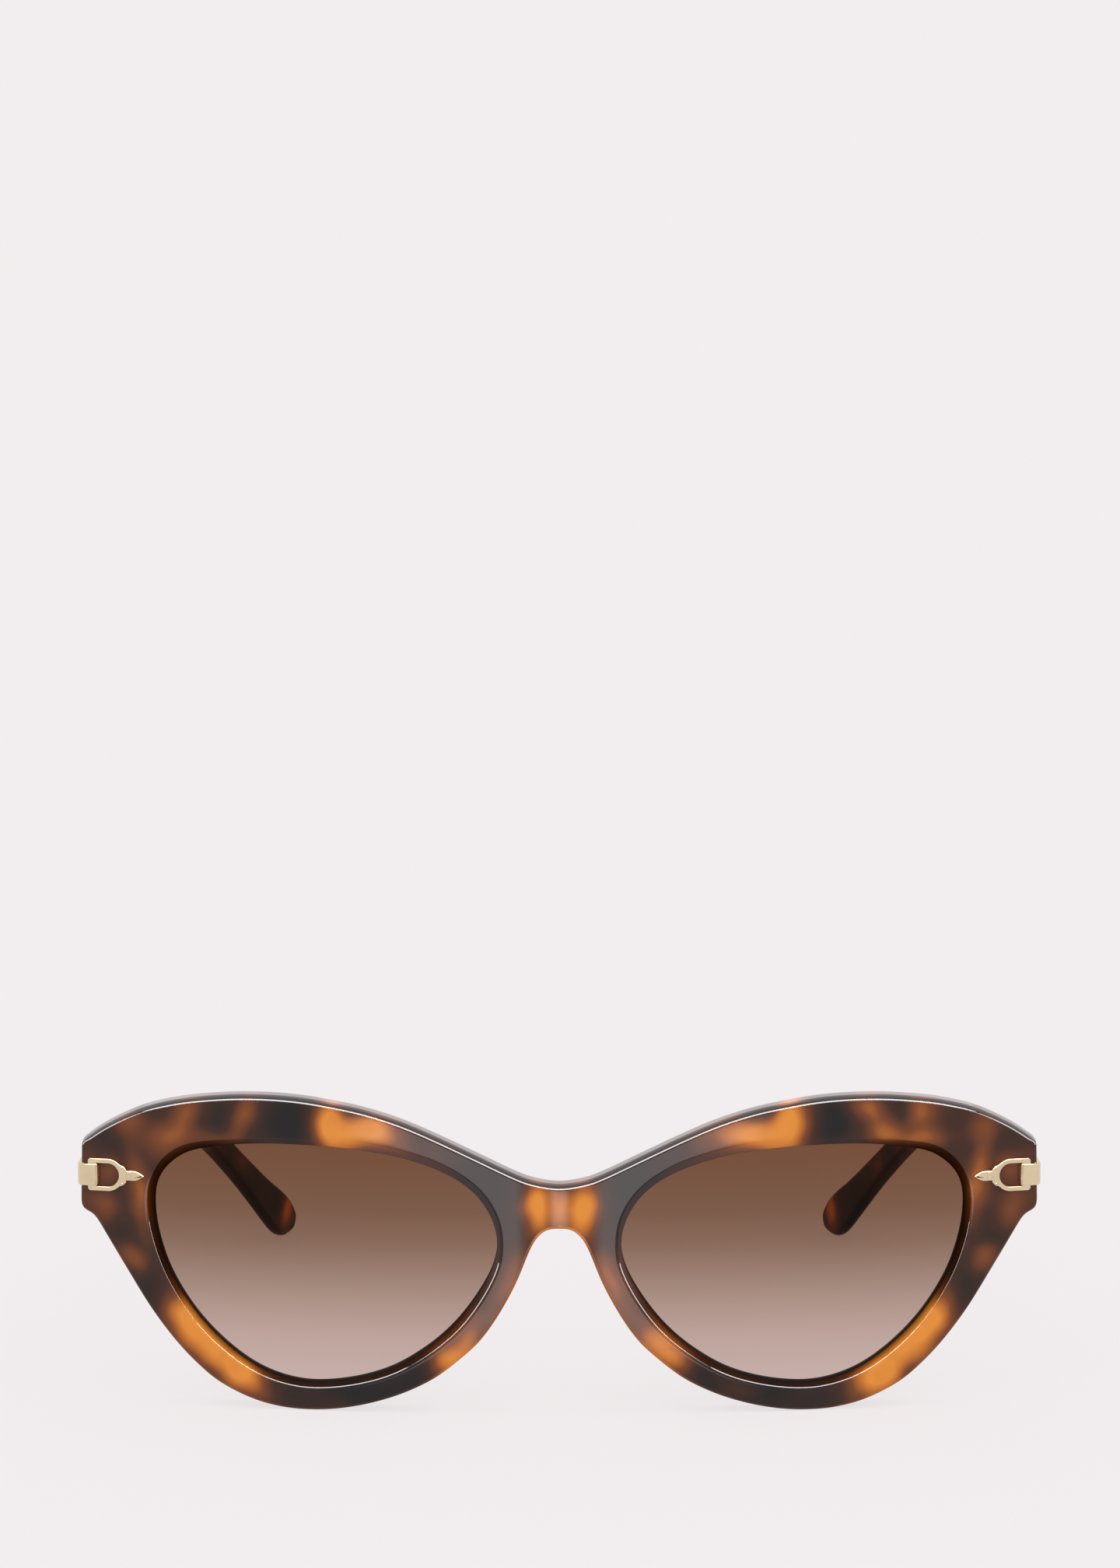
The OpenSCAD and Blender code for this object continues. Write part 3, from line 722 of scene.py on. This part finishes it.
def temple(side, name, node, body):
    """Bar with rounded long edges between the two outlines, bowed inwards."""
    # stations crowd together at the front end's bevel and towards the rounded tip
    t = np.concatenate([[0, 0.0012, 0.003], np.linspace(0, 0.9, 100)[1:],
                        0.9 + 0.1 * np.sin(np.linspace(0, math.pi / 2, 26)[1:])])

    def pick(outline):
        line = even(smooth_run(outline, 12), 0.25)
        u = t * (len(line) - 1)
        return np.stack([np.interp(u, np.arange(len(line)), line[:, k]) for k in (0, 1)], 1)

    a, b = pick(ARM_TOP), pick(ARM_LOW)
    a[0, 0] = b[0, 0] = ARM_START
    rows = []
    for i in range(len(t)):
        mid = (a[i] + b[i]) / 2
        half = (a[i] - b[i]) / 2
        height = np.linalg.norm(half)
        x_out, x_in = bow(mid[0])
        close = math.sqrt(max(1e-3, 1 - max(0.0, (t[i] - TIP_FROM) / TIP_RUN) ** 2))
        shrink = {0: 0.25, 1: 0.08}.get(i, 0.0)
        w = (x_out - x_in) / 2 * (0.35 + 0.65 * close) - shrink
        h = max(height, 0.02) - shrink
        r = min(ARM_CORNER, 0.9 * w, 0.9 * h)
        up = half / max(height, 1e-6)
        for cx, ch, first in ((1, 1, 0), (-1, 1, 90), (-1, -1, 180), (1, -1, 270)):
            for k in range(CORNER_STEPS):
                turn = math.radians(first + 90 * k / (CORNER_STEPS - 1))
                q = mid + up * (ch * (h - r) + r * math.sin(turn))
                if i > 0:
                    q[0] = max(q[0], ARM_START + 0.02 * i)
                # follow the bow at the point's own place along the temple
                x = sum(bow(q[0])) / 2 + cx * (w - r) + r * math.cos(turn)
                rows.append((x, q[0], q[1]))
    verts = np.array(rows) * [side, 1, 1]
    faces = tube_faces(len(t), 4 * CORNER_STEPS)
    return piece(name, place(verts), faces, body, ARM_MAT, [node], weld=2e-6)


# ---------------------------------------------------------------- nose pads

PAD_MID = np.array([10.2, 17.8])
PAD_TILT = math.radians(30.5)
PAD_HALF_LONG, PAD_HALF_WIDE, PAD_TALL = 6.4, 1.5, 5.0
PAD_BURIED = 0.3  # how far the pad starts inside the rim


def nose_pad(side, name, node):
    """A soft bump on the back of the nasal rim."""
    along = np.array([-math.sin(PAD_TILT), math.cos(PAD_TILT)])
    across = np.array([math.cos(PAD_TILT), math.sin(PAD_TILT)])
    base = face_y(PAD_MID[0]) + THICK - PAD_BURIED
    n = 48
    round_it = np.linspace(0, 2 * math.pi, n, endpoint=False)
    loops = []
    for a in np.radians(np.linspace(0, 90, 13)):
        spread, rise = math.cos(a), math.sin(a)
        u = PAD_HALF_LONG * spread * np.cos(round_it)
        v = PAD_HALF_WIDE * spread ** 0.8 * np.sin(round_it) + 0.1 * rise
        plan = PAD_MID + np.outer(u, along) + np.outer(v, across)
        loops.append(np.stack([plan[:, 0], np.full(n, base + PAD_TALL * rise), plan[:, 1]], 1))
    verts = np.concatenate(loops) * [side, 1, 1]
    faces = grid_faces(len(loops), n, wrap_cols=True) + [tuple(range(n))[::-1]]
    return piece(name, place(verts), faces, "front", FRONT_MAT, [node], weld=1e-5)


# ---------------------------------------------------------------- metal

def plate(outlines, depth, edge, transform, curve_steps=3):
    """Points and faces of a flat shape with rounded edges. The shape lies in its own x and y and is
    raised along its own +z; outlines after the first are holes."""
    data = bpy.data.curves.new("plate", "CURVE")
    data.dimensions = "2D"
    data.fill_mode = "BOTH"
    data.extrude = max(depth / 2 - edge, 0.001)
    data.bevel_depth = edge
    data.bevel_resolution = curve_steps
    data.offset = -edge
    for outline in outlines:
        spline = data.splines.new("POLY")
        spline.points.add(len(outline) - 1)
        for point, (x, y) in zip(spline.points, outline):
            point.co = (x, y, 0, 1)
        spline.use_cyclic_u = True
    obj = new_object("plate", data)
    bpy.context.view_layer.update()
    solid = obj.evaluated_get(bpy.context.evaluated_depsgraph_get())
    mesh = solid.to_mesh()
    verts = np.array([v.co for v in mesh.vertices], float)
    faces = [tuple(p.vertices) for p in mesh.polygons]
    solid.to_mesh_clear()
    bpy.data.objects.remove(obj)
    bpy.data.curves.remove(data)
    return transform(verts + [0, 0, depth / 2]), faces


def arc(cx, cy, r, a0, a1, n):
    """Points of an arc in n steps, angles in degrees."""
    a = np.radians(np.linspace(a0, a1, n + 1))
    return [(cx + r * math.cos(t), cy + r * math.sin(t)) for t in a]


def rounded_box(x0, x1, y0, y1, r):
    """Outline of a box with rounded corners."""
    return (arc(x1 - r, y1 - r, r, 0, 90, 4) + arc(x0 + r, y1 - r, r, 90, 180, 4)
            + arc(x0 + r, y0 + r, r, 180, 270, 4) + arc(x1 - r, y0 + r, r, 270, 360, 4))


def with_mirror(points):
    """An upper half outline, followed by the lower half that mirrors it."""
    return points + [(x, -y) for x, y in reversed(points)]


def join(parts):
    """One set of points and faces from several."""
    verts, faces, base = [], [], 0
    for v, f in parts:
        verts.append(v)
        faces += [tuple(base + i for i in q) for q in f]
        base += len(v)
    return np.concatenate(verts), faces


def metal_piece(parts, side, name, node, body, material=GOLD_MAT):
    verts, faces = join(parts)
    return piece(name, place(verts * [side, 1, 1]), faces, body, material, [node])


TRIM_X = 69.05
TRIM_Z = 35.6
TRIM_TURN = math.asin(TRIM_X / FACE_R)
TRIM_BURIED = 0.1  # how far each layer of the trim starts inside the front
STRAP_HALF = 1.68  # half the strap's height


def on_face(lift):
    """Shape drawn in the face's plane at the trim, standing out of it; x runs outwards and y up."""
    c, s = math.cos(TRIM_TURN), math.sin(TRIM_TURN)

    def move(v):
        x, y = v[:, 0], -(v[:, 2] + lift)
        return np.stack([TRIM_X + c * x - s * y, face_y(TRIM_X) + s * x + c * y, TRIM_Z + v[:, 1]], 1)

    return move


def bead(x, z, lift, r):
    """A small gold grain on the crest."""
    n = 12
    rows = []
    for k in range(6):
        a = math.radians(90 * k / 5.2)
        for j in range(n):
            b = 2 * math.pi * j / n
            rows.append((x + r * math.cos(a) * math.cos(b), z + r * math.cos(a) * math.sin(b), r * math.sin(a)))
    faces = grid_faces(6, n, wrap_cols=True) + [tuple(range(5 * n, 6 * n))]
    return on_face(lift)(np.array(rows)), faces


def trim(side, name, node):
    """Stirrup with a pointed tongue, and the strap over the corner that holds it."""
    ring_out = (arc(0.36, 0, 2.52, 90, 128, 8) + with_mirror([(-1.55, 1.72), (-1.86, 1.5)])
                + arc(0.36, 0, 2.52, 232, 270, 8) + [(3.2, -2.52), (3.5, -2.36), (3.6, -2.1), (3.6, 2.1),
                                                     (3.5, 2.36), (3.2, 2.52)])
    hole = arc(0.36, 0, 1.81, 90, 270, 24) + [(2.18, -1.81), (2.33, -1.66), (2.33, 1.66), (2.18, 1.81)]
    crest = with_mirror([(-1.5, 1.55), (-1.9, 1.6), (-2.2, 1.5), (-2.6, 1.1), (-2.72, 0.9)])
    point = with_mirror([(-2.2, 0.78), (-3.5, 0.78), (-4.15, 0.74), (-4.6, 0.58), (-5.0, 0.36), (-5.35, 0.12),
                         (-5.5, 0.03)])
    step = rounded_box(-3.45, -2.2, -0.72, 0.72, 0.2)
    roll = rounded_box(1.98, 2.6, -1.74, 1.74, 0.3)
    # the strap is drawn from above
    strap = [(71.3, 9.8), (71.3, 8.4), (71.5, 8.1), (72.0, 8.08), (73.2, 8.45), (73.8, 8.8), (74.12, 9.25),
             (74.32, 9.9), (74.34, 14.1), (74.12, 14.38), (73.2, 14.38), (72.9, 14.2), (73.3, 10.6)]
    layer = on_face(-TRIM_BURIED)
    parts = [
        plate([ring_out, hole], 0.85, 0.15, layer),
        plate([crest], 0.95, 0.14, layer),
        plate([point], 0.72, 0.18, layer),
        plate([step], 0.84, 0.12, layer),
        plate([roll], 1.05, 0.28, layer, 5),
        plate([strap], 2 * STRAP_HALF, 0.14, lambda v: v + [0, 0, TRIM_Z - STRAP_HALF]),
        bead(-2.05, 1.25, 0.78, 0.2),
        bead(-2.05, -1.25, 0.78, 0.2),
    ]
    return metal_piece(parts, side, name, node, "front")


HINGE = (68.2, 16.0)  # x and y of the hinge line
KNUCKLE_Z, KNUCKLE_H, KNUCKLE_GAP = 31.2, 1.4, 0.05
KNUCKLE_STEP = KNUCKLE_H + KNUCKLE_GAP
HINGE_TOP = KNUCKLE_Z + 5 * KNUCKLE_H + 4 * KNUCKLE_GAP
TEMPLE_LEAF_TALL = 4.3
RIVET_R, RIVET_THICK = 0.75, 0.18


def turned(profile, n=40):
    """Solid of revolution about the hinge line from (radius, height) points."""
    rows = []
    for r, h in profile:
        for j in range(n):
            a = 2 * math.pi * j / n
            rows.append((HINGE[0] + r * math.cos(a), HINGE[1] + r * math.sin(a), h))
    return np.array(rows), tube_faces(len(profile), n)


def knuckle_z(i):
    return KNUCKLE_Z + i * KNUCKLE_STEP


def knuckle(i):
    z0 = knuckle_z(i)
    z1 = z0 + KNUCKLE_H
    return turned([(1.05, z0), (1.38, z0), (1.46, z0 + 0.03), (1.5, z0 + 0.1),
                   (1.5, z1 - 0.1), (1.46, z1 - 0.03), (1.38, z1), (1.05, z1)])


def facing_back(y):
    """For a plate drawn in x and z and raised backwards from y."""
    return lambda v: np.stack([v[:, 0], y + v[:, 2], v[:, 1]], 1)


def facing_in(x):
    """For a plate drawn in y and z and raised inwards from x."""
    return lambda v: np.stack([x - v[:, 2], v[:, 0], v[:, 1]], 1)


def rivet(x, z, way):
    return plate([arc(x, z, RIVET_R, 0, 345, 23)], RIVET_THICK, 0.08, way)


def hinge_front(side, name, node):
    """Leaf in the front's back, with three knuckles and two rivets. Each plate starts inside the one under it."""
    parts = [plate([rounded_box(63.75, 69.55, KNUCKLE_Z, HINGE_TOP, 0.5)], 0.55, 0.1, facing_back(13.9))]
    for i in (0, 2, 4):
        z0 = knuckle_z(i)
        arm = rounded_box(HINGE[0] - 1.0, HINGE[0] + 1.0, z0, z0 + KNUCKLE_H, 0.1)
        parts += [knuckle(i), plate([arm], 1.9, 0.08, facing_back(14.0))]
    parts += [rivet(65.3, z, facing_back(14.36)) for z in (33.0, 36.6)]
    return metal_piece(parts, side, name, node, "front")


def hinge_temple(side, name, node, body):
    """Leaf in the temple's inner side, with two knuckles and two rivets, laid in the same way."""
    low = knuckle_z(1)
    leaf = rounded_box(17.65, 25.55, low, low + TEMPLE_LEAF_TALL, 0.6)
    parts = [plate([leaf], 0.9, 0.1, facing_in(70.45))]
    for i in (1, 3):
        z0 = knuckle_z(i)
        arm = rounded_box(HINGE[1] - 0.3, 19.2, z0, z0 + KNUCKLE_H, 0.1)
        parts += [knuckle(i), plate([arm], 1.0, 0.08, facing_in(69.7))]
    parts += [rivet(y, low + TEMPLE_LEAF_TALL / 2, facing_in(69.6)) for y in (20.9, 23.9)]
    return metal_piece(parts, side, name, node, body)


def hinge_screw(side, name, node):
    """Shank and head of revolution, and the two half discs that leave the slot between them."""
    parts = [turned([(0.5, KNUCKLE_Z), (0.68, KNUCKLE_Z + 0.12), (0.68, HINGE_TOP), (1.16, HINGE_TOP + 0.02),
                     (1.19, HINGE_TOP + 0.12), (1.12, HINGE_TOP + 0.27), (0.9, HINGE_TOP + 0.33)])]
    for x0, x1 in ((-0.95, -0.14), (0.14, 0.95)):
        half = [(min(max(x, x0), x1), y) for x, y in arc(0, 0, 0.98, 0, 360, 40)[:-1]]
        parts.append(plate([half], 0.2, 0.05, lambda v: v + [*HINGE, HINGE_TOP + 0.3]))
    return metal_piece(parts, side, name, node, "front", SCREW_MAT)


front()
for sign, word in ((1, "left"), (-1, "right")):
    arm_body = word + "_temple"
    lens(sign, "lens." + word, "lens_" + word)
    nose_pad(sign, "pad." + word, "nose_pad_" + word)
    temple(sign, "temple." + word, "temple_" + word, arm_body)
    trim(sign, "trim." + word, "trim_" + word)
    hinge_front(sign, "hinge_a." + word, "hinge_front_" + word)
    hinge_temple(sign, "hinge_b." + word, "hinge_temple_" + word, arm_body)
    hinge_screw(sign, "screw." + word, "hinge_screw_" + word)
    core = frame["nodes"]["core_wire_" + word]
    core.data.materials.clear()
    core.data.materials.append(CORE_MAT)


# ---------------------------------------------------------------- floor, light, camera

BACKGROUND = (0.888, 0.855, 0.863)
FLOOR_HALF = 60.0
FLOOR_GLOW = 0.84  # share of the floor's colour that is its own light, which keeps shadows faint
FRONT_MIDDLE = (0, -0.06, 0.03)
OVERHEAD = (0, -0.25, 0.92)


def floor():
    mesh = bpy.data.meshes.new("floor")
    s = FLOOR_HALF
    mesh.from_pydata([(-s, -s, 0), (s, -s, 0), (s, s, 0), (-s, s, 0)], [], [(0, 1, 2, 3)])
    m = Material("floor")
    matt = m.add("ShaderNodeBsdfDiffuse", Color=(0.80, 0.772, 0.779, 1))
    glow = m.add("ShaderNodeEmission", Color=(*BACKGROUND, 1))
    mesh.materials.append(m.surface(m.mix_shaders(FLOOR_GLOW, matt, glow)))
    new_object("floor", mesh)


def world():
    w = bpy.data.worlds.new("studio")
    bpy.context.scene.world = w
    w.use_nodes = True
    back = w.node_tree.nodes["Background"]
    back.inputs[0].default_value = (*BACKGROUND, 1)
    back.inputs[1].default_value = 1.0


def group(name, wanted):
    """The pieces whose names start with one of the words, for lights that reach only them."""
    found = bpy.data.collections.new(name)
    for obj in bpy.context.scene.objects:
        if obj.type == "MESH" and obj.name.startswith(wanted):
            found.objects.link(obj)
    return found


def facing(way):
    """Turn of a light that shines along a direction."""
    return Vector(way).to_track_quat("-Z", "Y").to_euler()


def panel(name, spot, aim, size, radiance, only_on):
    """A soft box that shows only in reflections, in the pieces of one group."""
    data = bpy.data.lights.new(name, "AREA")
    data.shape = "RECTANGLE"
    data.size, data.size_y = size
    data.energy = radiance * math.pi * size[0] * size[1]
    obj = new_object(name, data)
    obj.location = spot
    obj.rotation_euler = facing(Vector(aim) - Vector(spot))
    obj.visible_camera = False
    obj.visible_diffuse = False
    obj.visible_transmission = False
    obj.light_linking.receiver_collection = only_on
    return data


def sun():
    data = bpy.data.lights.new("sun", "SUN")
    data.energy = 0.74
    data.angle = math.radians(70)
    new_object("sun", data).rotation_euler = facing((-0.3, 0.4, -2.0))


def card(only_on):
    """Low soft box in front of the bridge, whose reflection greys the nose side of both rims. It is
    clear of the bridge's amber, and it fades outwards."""
    data = panel("card", (0, -0.215, 0.001), (0, -0.215, 1.0), (0.26, 0.23), 2.95, only_on)
    data.use_nodes = True
    m = Nodes(data.node_tree)
    x, y, _ = m.split(m.add("ShaderNodeNewGeometry").outputs["Position"])
    # the face is a curved mirror: it shows a point of the box at 114.7 x / (0.046 - y), in mm from its middle
    reach = m.math("MULTIPLY_ADD", y, -1.0, 0.046)
    across = m.math("DIVIDE", m.math("MULTIPLY", m.math("ABSOLUTE", x), 114.7), reach)
    sides = m.math("MULTIPLY", m.soft(across, 4.4, 7.0, 0.0, 1.0), m.soft(across, 25.5, 36.5, 1.0, 0.0))
    middle = m.soft(across, 0.7, 1.8, 1.35, 0.0)
    near = m.soft(y, -0.13, -0.09, 1.0, 0.0)
    shape = m.math("MULTIPLY", m.math("ADD", sides, middle), near)
    glow = m.add("ShaderNodeEmission", Color=(1.0, 0.88, 0.88, 1), Strength=shape)
    m.add("ShaderNodeOutputLight", Surface=glow)


LENS_MM, SENSOR_MM = 96.9, 36.0
EYE_RISE = math.radians(12)  # how far above the level the camera looks from
EYE_FAR = 0.65
GLASSES_LOW = 0.29762  # distance of the glasses below the picture's middle, as a share of its height


def camera():
    data = bpy.data.cameras.new("camera")
    data.lens = LENS_MM
    data.sensor_width = SENSOR_MM
    data.clip_start = 0.01
    data.clip_end = 200
    obj = new_object("camera", data)
    middle = Vector((0, 3 - MID_Y, 24.85)) * 0.001  # of the front
    obj.location = middle + EYE_FAR * Vector((0, -math.cos(EYE_RISE), math.sin(EYE_RISE)))
    obj.location.x = 0.00012
    tilt = math.atan(GLASSES_LOW * SENSOR_MM / LENS_MM)
    obj.rotation_euler = (math.radians(90) - EYE_RISE + tilt, 0, 0)
    bpy.context.scene.camera = obj


floor()
world()
camera()
sun()
acetate_pieces = group("acetate_pieces", ("front", "temple", "pad"))
metal_pieces = group("metal_pieces", ("trim", "hinge", "screw"))
panel("strip", OVERHEAD, FRONT_MIDDLE, (1.7, 1.0), 24.0, acetate_pieces)
panel("side_left", (1.0, -0.25, 0.42), FRONT_MIDDLE, (0.7, 0.8), 17.0, acetate_pieces)
panel("side_right", (-1.0, -0.25, 0.42), FRONT_MIDDLE, (0.7, 0.8), 17.0, acetate_pieces)
panel("rear", (0, 1.4, 0.34), FRONT_MIDDLE, (2.6, 0.36), 0.35, acetate_pieces)
panel("metal_strip", OVERHEAD, FRONT_MIDDLE, (1.7, 0.9), 2.8, metal_pieces)
card(acetate_pieces)
bpy.context.scene.view_settings.view_transform = "Standard"
